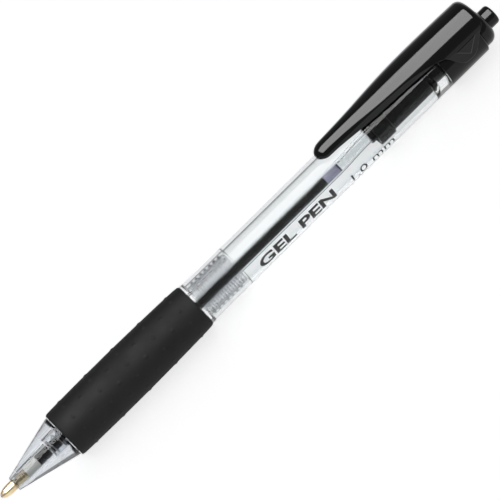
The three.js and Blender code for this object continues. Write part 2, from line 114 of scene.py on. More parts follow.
class Recipe:
    """A material being written, with one Principled surface."""

    def __init__(self, name: str) -> None:
        """Starts an empty material.

        Args:
            name: the material's name.
        """
        self.material = bpy.data.materials.new(name)
        self.material.use_nodes = True
        self.tree = self.material.node_tree
        self.tree.nodes.clear()
        self.coordinates = self.add("ShaderNodeTexCoord").outputs["Object"]

    def add(
        self,
        kind: str,
        settings: dict[str, Any] | None = None,
        inputs: dict[str | int, Any] | None = None,
    ) -> bpy.types.Node:
        """Adds a node: its settings first, then what its sockets hold or are fed.

        Args:
            kind: the node's type.
            settings: values of the node's own properties.
            inputs: a value, a socket or a Wire for each input, by name or number.

        Returns:
            The node.
        """
        node = self.tree.nodes.new(kind)
        for key, value in (settings or {}).items():
            setattr(node, key, value)
        for key, value in (inputs or {}).items():
            source = value.socket if isinstance(value, Wire) else value
            if isinstance(source, bpy.types.NodeSocket):
                self.tree.links.new(source, node.inputs[key])
            else:
                node.inputs[key].default_value = source
        return node

    def math(self, operation: str, first: Any, second: Any = 0.0) -> Wire:
        """The result of one Math node."""
        node = self.add("ShaderNodeMath", {"operation": operation}, {0: first, 1: second})
        return Wire(self, node.outputs[0])

    def position(self) -> tuple[Wire, Wire, Wire]:
        """The three Object coordinates."""
        parts = self.add("ShaderNodeSeparateXYZ", None, {0: self.coordinates}).outputs
        return Wire(self, parts["X"]), Wire(self, parts["Y"]), Wire(self, parts["Z"])

    def noise(
        self, per_metre: float, detail: float = 3.0, stretch: Triple = (1.0, 1.0, 1.0)
    ) -> Wire:
        """Smooth noise between 0 and 1.

        Args:
            per_metre: how many waves there are in a metre.
            detail: how many finer octaves are added.
            stretch: factors on the coordinates, axis by axis.

        Returns:
            The noise.
        """
        place = self.add("ShaderNodeMapping", None, {"Vector": self.coordinates, "Scale": stretch})
        inputs = {"Vector": place.outputs["Vector"], "Scale": per_metre, "Detail": detail}
        return Wire(self, self.add("ShaderNodeTexNoise", None, inputs).outputs["Fac"])

    def ramp(self, value: Any, low: float, high: float, out: tuple[float, float]) -> Wire:
        """A straight ramp from out[0] at low to out[1] at high, held outside."""
        inputs = {"Value": value, 1: low, 2: high, 3: out[0], 4: out[1]}
        return Wire(self, self.add("ShaderNodeMapRange", {"clamp": True}, inputs).outputs["Result"])

    def blend(self, share: Any, first: Any, second: Any) -> bpy.types.NodeSocket:
        """Two colours mixed, with that share of the second."""
        mixed = {6 + i: (*c, 1.0) if isinstance(c, tuple) else c for i, c in enumerate((first, second))}
        return self.add("ShaderNodeMix", {"data_type": "RGBA"}, {0: share} | mixed).outputs[2]

    def bump(self, height: Any, depth: float, strength: float) -> bpy.types.NodeSocket:
        """The normal of a height of 0 to 1, where 1 stands for the depth in metres."""
        inputs = {"Height": height, "Distance": depth, "Strength": strength}
        return self.add("ShaderNodeBump", None, inputs).outputs["Normal"]

    def surface(self, inputs: dict[str | int, Any]) -> Material:
        """Ends the recipe with its Principled shader.

        Args:
            inputs: what the shader's sockets hold or are fed.

        Returns:
            The material.
        """
        shader = self.add("ShaderNodeBsdfPrincipled", None, inputs)
        self.add("ShaderNodeOutputMaterial", None, {"Surface": shader.outputs["BSDF"]})
        return self.material


# ---- Finishes -----------------------------------------------------------------------------
@dataclass(frozen=True)
class ClearPlastic:
    """Polished clear plastic with hairline scratches that run mostly along the pen. Painted shade
    darkens its colour where it is seen edge on, and where a thread's flanks bend the light away."""

    name: str = "clear_plastic"
    tint: Triple = (0.86, 0.88, 0.885)
    thin: Triple = (0.89, 0.905, 0.91)
    # painted shade: the dark colour laid on where the plastic is seen edge on
    edge: Triple = (0.3, 0.33, 0.36)
    # painted shade on the thread's flanks, standing in for the light that they bend away
    flank_shade: Triple = (0.4, 0.4, 0.45)
    haze: float = 0.02
    shine: float = 0.28
    scratch_depth: float = 2e-6
    ior: float = 1.49
    thread_start: float = 0.0
    thread_end: float = 0.0
    thread_pitch: float = 1.0
    # painted shade: a bluish grey laid on the plastic in front of the station where it ends
    nose: Triple = (0.68, 0.705, 0.735)
    nose_shade_end: float = -1.0

    def material(self) -> Material:
        """The finished material."""
        recipe = Recipe(self.name)
        scratches = recipe.noise(900.0, 4.0, (0.12, 1.0, 1.0))
        cloud = recipe.noise(120.0, 2.0)
        fine = recipe.ramp(scratches, 0.62, 0.75, (0.0, 1.0))
        # Painted shade: the colour goes towards the edge colour where the surface is seen edge on.
        layer = recipe.add("ShaderNodeLayerWeight", None, {"Blend": 0.5}).outputs["Facing"]
        grazing_shade = recipe.ramp(layer, 0.2, 0.95, (0.0, 1.0)) ** 2
        tint = recipe.blend(cloud, self.tint, self.thin)
        # Painted shade: the plastic at the front takes the greyer nose colour.
        front = recipe.ramp(recipe.position()[0], self.nose_shade_end, self.nose_shade_end + 5 * MM, (1.0, 0.0))
        tint = recipe.blend(front, tint, self.nose)
        tint = recipe.blend(grazing_shade, tint, self.edge)
        if self.thread_end > self.thread_start:
            # Painted shade: darker where the thread's flanks bend the light away.
            tint = recipe.blend(self.flanks(recipe), tint, self.flank_shade)
        return recipe.surface({
            "Base Color": tint,
            "Roughness": self.haze + 0.03 * cloud * cloud + 0.05 * fine,
            "Transmission Weight": 1.0,
            "IOR": self.ior,
            "Specular Tint": (self.shine, self.shine, self.shine, 1.0),
            "Normal": recipe.bump(scratches, self.scratch_depth, 0.35),
        })

    def flanks(self, recipe: Recipe) -> Wire:
        """How much painted shade a point gets for lying on the thread's flanks. With the turn number
        t = (X - start) / pitch - angle / 2 pi, the flanks are where t is near a whole number
        plus or minus a quarter. The thread runs out in its last 0.4 turns."""
        x, y, z = recipe.position()
        up = z - AXIS.height
        across = y * -1.0
        along = (x - self.thread_start) / self.thread_pitch
        turn = along - recipe.math("ARCTAN2", across, up) / TURN
        near = recipe.math("PINGPONG", turn * 2.0 + 0.5, 0.5)
        line = recipe.ramp(near, 0.14, 0.4, (1.0, 0.0))
        turns = (self.thread_end - self.thread_start) / self.thread_pitch
        begun = recipe.ramp(along, 0.0, 0.4, (0.0, 1.0))
        ended = recipe.ramp(along, turns - 0.4, turns, (1.0, 0.0))
        radius = (up * up + across * across) ** 0.5
        return line * begun * ended * recipe.ramp(radius, 3.5 * MM, 3.7 * MM, (0.0, 0.85))


@dataclass(frozen=True)
class BlackGloss:
    """Glossy black moulding with faint flow marks, handling smears, and rougher edges that carry a
    painted highlight.
    """

    name: str = "black_gloss"
    deep: Triple = (0.006, 0.006, 0.0065)
    # lighter colour of the hairline scratches, and of the painted highlight on sharp edges
    worn: Triple = (0.03, 0.03, 0.032)
    roughness: float = 0.07
    specular: float = 0.22

    def material(self) -> Material:
        """The finished material."""
        recipe = Recipe(self.name)
        smear = recipe.noise(180.0, 3.0, (0.5, 1.0, 1.0))
        scratches = recipe.noise(1500.0, 3.0, (0.15, 1.0, 1.0))
        hairline = recipe.ramp(scratches, 0.66, 0.74, (0.0, 1.0))
        # Painted highlight: sharp edges, in patches along the smears, get a lighter base colour that
        # stands in for the light their rounding catches, and a rougher finish.
        edge_node = recipe.add("ShaderNodeNewGeometry").outputs["Pointiness"]
        edge = recipe.ramp(edge_node, 0.54, 0.62, (0.0, 1.0))
        edge_highlight = edge * recipe.ramp(smear, 0.45, 0.7, (0.0, 1.0))
        return recipe.surface({
            "Base Color": recipe.blend(0.5 * edge_highlight + 0.12 * hairline, self.deep, self.worn),
            "Roughness": self.roughness + 0.1 * smear * smear + 0.12 * edge_highlight,
            "Specular IOR Level": self.specular,
            "Normal": recipe.bump(scratches, 1.5e-6, 0.4),
        })


@dataclass(frozen=True)
class SoftRubber:
    """Matte black rubber with a fine sparked texture and patches polished by fingers."""

    name: str = "black_rubber"
    dark: Triple = (0.02, 0.02, 0.0205)
    dusty: Triple = (0.034, 0.034, 0.035)
    roughness: float = 0.62

    def material(self) -> Material:
        """The finished material."""
        recipe = Recipe(self.name)
        grain = recipe.noise(5200.0, 2.0)
        patch = recipe.noise(160.0, 4.0)
        dust = recipe.ramp(patch, 0.35, 0.75, (0.0, 1.0))
        return recipe.surface({
            "Base Color": recipe.blend(0.35 * dust + 0.3 * grain, self.dark, self.dusty),
            "Roughness": self.roughness + 0.14 * dust - 0.08 * grain,
            "Specular IOR Level": 0.065,
            "Normal": recipe.bump(grain, 1.2e-5, 0.5),
        })


@dataclass(frozen=True)
class TurnedMetal:
    """Metal turned on a lathe: rings round the axis, and a tarnish that comes and goes."""

    name: str
    bright: Triple
    tarnished: Triple
    roughness: float = 0.2
    rings_per_metre: float = 9000.0

    def material(self) -> Material:
        """The finished material."""
        recipe = Recipe(self.name)
        rings = recipe.noise(self.rings_per_metre, 2.0, (1.0, 0.03, 0.03))
        tarnish = recipe.ramp(recipe.noise(700.0, 3.0), 0.4, 0.72, (0.0, 1.0))
        return recipe.surface({
            "Base Color": recipe.blend(0.7 * tarnish, self.bright, self.tarnished),
            "Metallic": 1.0,
            "Roughness": self.roughness + 0.12 * rings + 0.1 * tarnish,
            "Normal": recipe.bump(rings, 2e-6, 0.3),
        })


@dataclass(frozen=True)
class MilkyPlastic:
    """Cloudy plastic that lets light through."""

    name: str = "milky_plastic"
    thin: Triple = (0.97, 0.95, 0.88)
    dense: Triple = (0.92, 0.88, 0.78)

    def material(self) -> Material:
        """The finished material."""
        recipe = Recipe(self.name)
        cloud = recipe.noise(900.0, 3.0)
        return recipe.surface({
            "Base Color": recipe.blend(cloud, self.thin, self.dense),
            "Roughness": 0.12 + 0.2 * cloud,
            "Transmission Weight": 0.3,
            "IOR": 1.46,
            "Normal": recipe.bump(cloud, 6e-6, 0.4),
        })


@dataclass(frozen=True)
class Fluid:
    """A thick fluid in the refill, with streaks along the tube and a darker end."""

    name: str
    body: Triple
    streak: Triple
    rim: Triple
    rim_from: float
    clear: float = 0.0

    def material(self) -> Material:
        """The finished material."""
        recipe = Recipe(self.name)
        streaks = recipe.noise(1400.0, 3.0, (0.2, 1.0, 1.0))
        end = recipe.ramp(recipe.position()[0], self.rim_from, self.rim_from + 0.25 * MM, (0.0, 1.0))
        colour = recipe.blend(streaks, self.body, self.streak)
        return recipe.surface({
            "Base Color": recipe.blend(end, colour, self.rim),
            "Roughness": 0.12 + 0.14 * streaks,
            "Transmission Weight": self.clear,
            "Normal": recipe.bump(streaks, 3e-6, 0.3),
        })


@dataclass(frozen=True)
class PadInk:
    """Printed ink: nearly black, uneven and slightly worn through."""

    name: str = "body_print_ink"

    def material(self) -> Material:
        """The finished material."""
        recipe = Recipe(self.name)
        speckle = recipe.noise(6000.0, 2.0)
        worn = recipe.ramp(speckle, 0.6, 0.8, (0.0, 1.0))
        return recipe.surface({
            "Base Color": recipe.blend(worn, (0.012, 0.012, 0.013), (0.1, 0.1, 0.1)),
            "Roughness": 0.4 + 0.2 * speckle,
            "Normal": recipe.bump(speckle, 3e-6, 0.4),
        })


# ---- Surfaces -----------------------------------------------------------------------------
class Ends(Enum):
    """How a grid of rings is closed along its length."""

    POLES = "the first and last rings shrink to points"
    LOOP = "the last ring joins the first"
    CAPS = "a flat face covers each end"


@dataclass(frozen=True)
class PenAxis:
    """Turns stations, radii and angles into the shared frame, in metres."""

    front: float
    height: float
    sag_front: float = 34.0
    sag_grows: float = 22.0
    sag_rear: float = 105.5
    sag_fades: float = 9.0

    def place(self, station: Array, across: Array, up: Array) -> Array:
        """Points in metres: up is over the axis, and across is away from the camera's side."""
        points = np.stack(np.broadcast_arrays(station, across, up), axis=-1)
        return points * MM + np.array([self.front, 0.0, self.height])

    def turned(self, station: Array, radius: Array, angle: Array, sag: float = 0.0) -> Array:
        """Points round the axis: across is -radius sin(angle), up is radius cos(angle). The
        refill hangs down by the sag in the middle of the barrel."""
        hang = smooth_step((station - self.sag_front) / self.sag_grows)
        hang = hang * smooth_step((self.sag_rear - station) / self.sag_fades)
        return self.place(station, -radius * np.sin(angle), radius * np.cos(angle) - sag * hang)

    def x(self, station: float) -> float:
        """The X of a station."""
        return self.front + station * MM

    def span(self, node: str) -> tuple[float, float]:
        """The stations of a CAD node's two ends."""
        low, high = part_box(node)
        return (low.x - self.front) / MM, (high.x - self.front) / MM


def measured_axis() -> PenAxis:
    """The axis runs through the middle of the barrel, from the front of the ball."""
    low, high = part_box("barrel")
    return PenAxis(front=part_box("writing_ball")[0].x, height=(low.z + high.z) / 2)


AXIS = measured_axis()


def angles(sides: int) -> Array:
    """That many angles evenly round a turn."""
    return np.arange(sides) * TURN / sides


def smooth_step(value: Array) -> Array:
    """3 t^2 - 2 t^3, with t the value held between 0 and 1."""
    held = np.clip(value, 0.0, 1.0)
    return held * held * (3 - 2 * held)


def smooth_line(at: Array, stations: list[float], values: list[float]) -> Array:
    """A smooth line through a few values: on each stretch, the cubic that has the values at
    both its ends, and there the slopes of the line through each end's two neighbours.

    Args:
        at: where the line is wanted.
        stations: where its values are given, growing.
        values: the values there.

    Returns:
        The line's values.
    """
    knots = np.array(stations)
    given = np.array(values)
    slopes = np.gradient(given, knots)
    held = np.clip(at, knots[0], knots[-1])
    i = np.clip(np.searchsorted(knots, held) - 1, 0, len(knots) - 2)
    width = knots[i + 1] - knots[i]
    t = (held - knots[i]) / width
    start = given[i] * (2 * t**3 - 3 * t**2 + 1) + slopes[i] * width * (t**3 - 2 * t**2 + t)
    return start + given[i + 1] * (3 * t**2 - 2 * t**3) + slopes[i + 1] * width * (t**3 - t**2)


def rounded(profile: list[list[float]], radius: float, loop: bool, steps: int = 5) -> Array:
    """Rounds the corners of a profile. A corner P with neighbours A and B is cut back by the
    radius, or by 0.42 of the shorter side, to a and b. Between them the line is
    (1-t)^2 a + 2t(1-t) P + t^2 b, and a point a little outside each end keeps the flats flat.

    Args:
        profile: [station, radius] points.
        radius: how far a corner is cut back, in millimetres.
        loop: True if the last point joins the first. Otherwise both ends stay.
        steps: points on each corner.

    Returns:
        The rounded profile, with 2 columns.
    """
    points = np.array(profile, float)
    to_before = np.roll(points, 1, 0) - points
    to_after = np.roll(points, -1, 0) - points
    before_long = np.linalg.norm(to_before, axis=1, keepdims=True)
    after_long = np.linalg.norm(to_after, axis=1, keepdims=True)
    cut = np.minimum(radius, 0.42 * np.minimum(before_long, after_long))
    a = to_before / before_long * cut
    b = to_after / after_long * cut
    t = np.linspace(0.0, 1.0, steps)[None, :, None]
    curve = (1 - t) ** 2 * a[:, None] + t**2 * b[:, None]
    corner = np.concatenate([1.15 * a[:, None], curve, 1.15 * b[:, None]], axis=1)
    placed = points[:, None] + corner
    if loop:
        return placed.reshape(-1, 2)
    return np.concatenate([points[:1], placed[1:-1].reshape(-1, 2), points[-1:]])


def split_long(profile: Array, step: float, loop: bool) -> Array:
    """Adds evenly spaced points on the stretches of a profile that are longer than a step.

    Args:
        profile: [station, radius] rows.
        step: the longest stretch that stays, in millimetres.
        loop: True if the last point joins the first.

    Returns:
        The longer profile.
    """
    closed = np.concatenate([profile, profile[:1]]) if loop else profile
    long = np.linalg.norm(np.diff(closed, axis=0), axis=1)
    parts = np.maximum(np.ceil(long / step).astype(int), 1)
    share = np.concatenate([np.arange(count) / count for count in parts])
    start = np.repeat(closed[:-1], parts, axis=0)
    way = np.repeat(np.diff(closed, axis=0), parts, axis=0)
    dense = start + way * share[:, None]
    return dense if loop else np.concatenate([dense, closed[-1:]])


def mesh_of(name: str, grid: Array, ends: Ends) -> Mesh:
    """A closed mesh from rings of points. Faces join neighbouring points of neighbouring
    rings, and all are turned round if the volume that they enclose comes out negative.

    Args:
        name: the mesh's name.
        grid: points, as rings by points in a ring by 3.
        ends: how the first and last rings are closed.

    Returns:
        The mesh.
    """
    rings, sides = grid.shape[:2]
    index = np.arange(rings * sides).reshape(rings, sides)
    below = index if ends is Ends.LOOP else index[:-1]
    above = np.roll(index, -1, 0) if ends is Ends.LOOP else index[1:]
    quads = np.stack([below, np.roll(below, -1, 1), np.roll(above, -1, 1), above], -1)
    quads = quads.reshape(-1, 4)
    points = grid.reshape(-1, 3)
    middle = points.mean(0)
    p = [points[quads[:, k]] - middle for k in range(4)]
    volume = (p[0] * np.cross(p[1], p[2])).sum() + (p[0] * np.cross(p[2], p[3])).sum()
    if volume < 0:
        quads = quads[:, ::-1]
    faces = quads.tolist()
    if ends is Ends.CAPS:
        caps = [index[0, ::-1].tolist(), index[-1].tolist()]
        faces += caps if volume > 0 else [cap[::-1] for cap in caps]
    mesh = bpy.data.meshes.new(name)
    mesh.from_pydata(points.tolist(), [], faces)
    work = bmesh.new()
    work.from_mesh(mesh)
    bmesh.ops.remove_doubles(work, verts=work.verts, dist=1e-8)
    bmesh.ops.dissolve_degenerate(work, edges=work.edges, dist=1e-9)
    work.to_mesh(mesh)
    work.free()
    mesh.polygons.foreach_set("use_smooth", np.ones(len(mesh.polygons), bool))
    mesh.update()
    return mesh


def turned_mesh(name: str, profile: Array, loop: bool, sides: int = 96, sag: float = 0.0) -> Mesh:
    """A profile turned once round the axis. With loop it is hollow, and closes on itself."""
    grid = AXIS.turned(profile[:, :1], profile[:, 1:], angles(sides)[None], sag)
    return mesh_of(name, grid, Ends.LOOP if loop else Ends.POLES)


def show(mesh: Mesh, material: Material, body: str | None, slot: str, *nodes: str) -> bpy.types.Object:
    """Puts a piece into the scene and on its body.

    Args:
        mesh: its mesh, in the shared frame, with the piece's name.
        material: its finish.
        body: the CAD body that it rides on, or None for a piece that is put on no body.
        slot: the record's material slot that the finish belongs to. It is not used.
        *nodes: the CAD nodes that it stands for.

    Returns:
        The object.
    """
    piece = bpy.data.objects.new(mesh.name, mesh)
    bpy.context.scene.collection.objects.link(piece)
    mesh.materials.append(material)
    if body is not None:
        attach(piece, body)
    if nodes:
        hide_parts(*nodes)
    LOG.info("%s: %d faces", mesh.name, len(mesh.polygons))
    return piece


# ---- Refill -------------------------------------------------------------------------------
@dataclass
class Refill:
    """The refill: ball, brass point, milky holder, clear tube, ink and grease."""

    clear: Material
    ball_radius: float = 0.5
    point_radius: float = 1.15
    holder_radius: float = 1.25
    tube_radius: float = 1.5
    tube_bore: float = 0.7
    holder_bore: float = 0.86
    neck_bore: float = 0.42
    wing_from: float = 14.7
    wing_height: float = 0.5
    wetting: float = 0.02
    sag: float = 0.55

    def build(self) -> None:
        """Makes and dresses every piece."""
        self.ball()
        self.point()
        self.holder()
        self.tube()
        self.ink()
        self.grease()

    def ball(self) -> None:
        """A sphere: its radius at a station is that of a circle of the ball's radius."""
        turn = np.linspace(np.pi, 0.0, 25)
        profile = self.ball_radius * np.stack([1 + np.cos(turn), np.sin(turn)], axis=-1)
        metal = TurnedMetal("ball_steel", (0.62, 0.62, 0.63), (0.35, 0.34, 0.34), 0.12, 12000.0)
        mesh = turned_mesh("writing_ball_look", profile, False, 40)
        show(mesh, metal.material(), "refill", "steel", "writing_ball")

    def point(self) -> None:
        """The brass cone, its waist groove and the spigot in the holder."""
        _, rear = AXIS.span("point_cone")
        front, _ = AXIS.span("point_holder")
        r = self.point_radius
        mouth = [[0.75, 0.0], [0.7, 0.48], [0.34, 0.52], [0.34, 0.6]]
        cone = [[0.75, 0.79], [1.3, 1.0], [1.9, 1.12], [2.5, r]]
        waist = [[4.25, r], [4.5, 0.93], [4.85, 0.93], [5.1, r]]
        spigot = [[front - 0.05, r], [front, 0.95], [rear, 0.95], [rear, 0.0]]
        profile = rounded(mouth + cone + waist + spigot, 0.1, False)
        brass = TurnedMetal("point_brass", (0.8, 0.66, 0.42), (0.45, 0.33, 0.17), 0.16, 7000.0)
        mesh = turned_mesh("point_cone_look", profile, False)
        show(mesh, brass.material(), "refill", "brass_gold", "point_cone")

    def holder(self) -> None:
        """The holder: an opaque cream collar round the spigot, then clear round the ink."""
        front, rear = AXIS.span("point_holder")
        _, spigot = AXIS.span("point_cone")
        shoulder, _ = AXIS.span("refill_tube")
        seam = spigot + 0.2
        outside = self.holder_radius
        plug = self.tube_bore - 0.03
        collar = [[front + 0.03, 0.97], [front + 0.03, outside], [seam, outside], [seam, 0.97]]
        cream = turned_mesh("point_holder_collar", rounded(collar, 0.08, True), True)
        show(cream, MilkyPlastic().material(), "refill", "milky_plastic")
        sleeve = [
            [seam + 0.01, 0.97], [seam + 0.01, outside],
            [shoulder - 1.1, outside], [shoulder - 0.9, self.tube_radius],
            [shoulder - 0.02, self.tube_radius], [shoulder - 0.02, plug],
            [rear, plug], [rear, self.neck_bore],
            [shoulder - 1.0, self.neck_bore], [shoulder - 1.3, self.holder_bore],
            [seam + 0.3, self.holder_bore],
        ]
        mesh = turned_mesh("point_holder_look", rounded(sleeve, 0.08, True), True)
        show(mesh, self.clear, "refill", "milky_plastic", "point_holder")

    def tube(self) -> None:
        """The clear tube, with the two pressed wings that the spring pushes on. A wing's
        height at an angle is its full height times exp(-(cos(angle) / 0.2)^2)."""
        front, rear = AXIS.span("refill_tube")
        wing = front + self.wing_from
        r = self.tube_radius
        mark = 0.001  # how far the wings' stretch is raised, to tell it from the rest
        corners = [
            [front, self.tube_bore], [front, r],
            [wing - 0.2, r], [wing, r + mark],
            [wing + 1.6, r + mark], [wing + 1.8, r],
            [rear, r], [rear, self.tube_bore],
        ]
        profile = split_long(rounded(corners, 0.08, True), 1.5, True)
        angle = angles(96)[None]
        reach = self.wing_height * np.exp(-((np.cos(angle) / 0.2) ** 2))
        radius = profile[:, 1:] + np.where(profile[:, 1:] > r + mark / 2, reach, 0.0)
        grid = AXIS.turned(profile[:, :1], radius, angle, self.sag)
        mesh = mesh_of("refill_tube_look", grid, Ends.LOOP)
        show(mesh, self.clear, "refill", "clear_plastic", "refill_tube")

    def ink(self) -> None:
        """The ink wets the tube and the holder, so that nothing shows between them."""
        _, rear = AXIS.span("ink_fill")
        neck, _ = AXIS.span("refill_tube")
        _, spigot = AXIS.span("point_cone")
        _, holder_rear = AXIS.span("point_holder")
        wide, narrow, wet = [
            bore + self.wetting for bore in (self.holder_bore, self.neck_bore, self.tube_bore)
        ]
        profile = [
            [spigot + 0.35, 0.0], [spigot + 0.35, wide],
            [neck - 1.4, wide], [neck - 1.0, narrow],
            [holder_rear + 0.1, narrow], [holder_rear + 0.2, wet],
            [rear, wet], [rear, 0.0],
        ]
        dense = split_long(rounded(profile, 0.06, False), 1.5, False)
        mesh = turned_mesh("ink_fill_look", dense, False, 64, self.sag)
        dark, streak, rim = (0.004, 0.004, 0.005), (0.012, 0.01, 0.009), (0.02, 0.015, 0.02)
        black = Fluid("black_ink", dark, streak, rim, AXIS.x(rear))
        show(mesh, black.material(), "refill", "black_ink", "ink_fill")

    def grease(self) -> None:
        """The lilac grease behind the ink: its rear is a hollow bowl with a dark rim. With t
        the share of the way inwards, the bowl is 0.45 t (2 - t) mm deep."""
        front, rear = AXIS.span("grease_follower")
        deep = 0.45
        wet = self.tube_bore + self.wetting
        share = np.linspace(0.0, 1.0, 9)[:, None]
        bowl = np.concatenate([rear - deep * share * (2 - share), wet * (1 - share)], axis=1)
        start = np.array([[front, 0.0], [front, wet], [front + 0.1, wet], [rear - 0.2, wet]])
        profile = split_long(np.concatenate([start, bowl]), 1.0, False)
        pale, streak, rim = (0.74, 0.7, 0.97), (0.82, 0.79, 0.99), (0.07, 0.04, 0.16)
        lilac = Fluid("lilac_grease", pale, streak, rim, AXIS.x(rear - deep), 0.35)
        mesh = turned_mesh("grease_follower_look", profile, False, 64, self.sag)
        show(mesh, lilac.material(), "refill", "lilac_grease", "grease_follower")


@dataclass
class ReturnSpring:
    """The coil spring round the front of the refill."""

    wire: float = 0.17
    coil_radius: float = 1.72
    open_turns: int = 9

    def build(self) -> None:
        """A circle of the wire's radius carried round a helix that is closed at both ends."""
        front, rear = AXIS.span("return_spring")
        turns = self.open_turns + 2
        turned = np.linspace(0.0, turns, turns * 36 + 1)[:, None]
        opened = np.clip(turned - 1, 0, self.open_turns)
        closed_pitch = 2.2 * self.wire
        open_long = rear - front - 2 * self.wire - 2 * closed_pitch
        centre = front + self.wire + (turned - opened) * closed_pitch
        centre = centre + opened * open_long / self.open_turns
        around = angles(12)[None]
        station = centre + self.wire * np.cos(around)
        radius = self.coil_radius + self.wire * np.sin(around)
        grid = AXIS.turned(station, radius, TURN * turned + np.zeros_like(around))
        mesh = mesh_of("return_spring_look", grid, Ends.CAPS)
        steel = TurnedMetal("spring_steel", (0.5, 0.5, 0.51), (0.24, 0.23, 0.22), 0.22, 5000.0)
        spring = show(mesh, steel.material(), None, "steel", "return_spring")
        ends = [(AXIS.x(s), 0.0, AXIS.height) for s in (front, rear)]
        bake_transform(spring)


# ---- Body ---------------------------------------------------------------------------------
@dataclass
class FrontSection:
    """The clear nose, the seat under the grip and the screw thread, in one piece."""

    nose_radius: float = 1.7
    cone_rear_radius: float = 5.2
    seat_radius: float = 4.4
    collar_radius: float = 5.15
    thread_core: float = 3.75
    thread_height: float = 0.4
    thread_pitch: float = 1.29
    chamber: float = 2.2
    hole: float = 1.28
    seat_hole: float = 1.45

    def build(self) -> None:
        """Turns the profile, and raises the thread's ridge on it."""
        front, rear = AXIS.span("front_section")
        grip_front, grip_rear = AXIS.span("grip_sleeve")
        joint, _ = AXIS.span("barrel")
        spring, _ = AXIS.span("return_spring")
        core = self.thread_core
        outside = [
            [front, self.hole], [front, self.nose_radius - 0.1],
            [front + 0.15, self.nose_radius + 0.03], [grip_front - 0.1, self.cone_rear_radius],
            [grip_front - 0.1, self.seat_radius], [grip_rear + 0.05, self.seat_radius],
            [grip_rear + 0.05, self.collar_radius], [joint - 0.05, self.collar_radius],
            [joint - 0.05, core], [rear - 0.3, core],
        ]
        inside = [
            [rear, core - 0.3], [rear, self.chamber + 0.2],
            [spring + 16.0, self.chamber], [spring - 0.1, self.chamber],
            [spring - 0.1, self.seat_hole], [front + 2.1, self.seat_hole],
            [front + 1.9, self.hole],
        ]
        plain = rounded(outside + inside, 0.1, True)
        start, end = joint + 0.4, rear - 0.6
        dense = np.linspace(start, end, int((end - start) / self.thread_pitch * 14))
        thread = np.stack([dense, np.full_like(dense, core)], axis=-1)
        order = np.argmax((plain[:, 0] >= end) & (plain[:, 1] > core - 0.05))
        profile = np.concatenate([plain[:order], thread, plain[order:]])
        angle = angles(120)[None]
        radius = profile[:, 1:] + self.ridge(profile, angle, start, end)
        grid = AXIS.turned(profile[:, :1], radius, angle)
        mesh = mesh_of("front_section_look", grid, Ends.LOOP)
        clear = ClearPlastic(
            name="clear_plastic_front",
            tint=(0.92, 0.93, 0.94),
            thin=(0.95, 0.955, 0.96),
            # where the painted bluish shade on the front of the nose ends
            nose_shade_end=AXIS.x(grip_rear - 5),
            haze=0.01,
            thread_start=AXIS.x(start),
            thread_end=AXIS.x(end),
            thread_pitch=self.thread_pitch * MM,
        )
        show(mesh, clear.material(), "front", "clear_plastic", "front_section")

    def ridge(self, profile: Array, angle: Array, start: float, end: float) -> Array:
        """The thread's height over its core. With d the distance along the axis to the
        nearest turn of the helix, it is the full height for d under 0.12 mm and falls
        smoothly to 0 at 0.46 mm. It fades in and out over half a turn at its ends.

        Args:
            profile: the section's [station, radius] rows.
            angle: the angles round the axis, as one row.
            start: the station where the thread starts.
            end: the station where it ends.

        Returns:
            Heights, one for each profile row and angle.
        """
        station = profile[:, :1]
        turns = (station - start) / self.thread_pitch - angle / TURN
        away = np.abs(turns - np.round(turns)) * self.thread_pitch
        height = self.thread_height * smooth_step((0.46 - away) / 0.34)
        fade = smooth_step((station - start) / 0.7) * smooth_step((end - station) / 0.7)
        outside = np.abs(profile[:, 1:] - self.thread_core) < 0.02
        return np.where(outside, height * fade, 0.0)


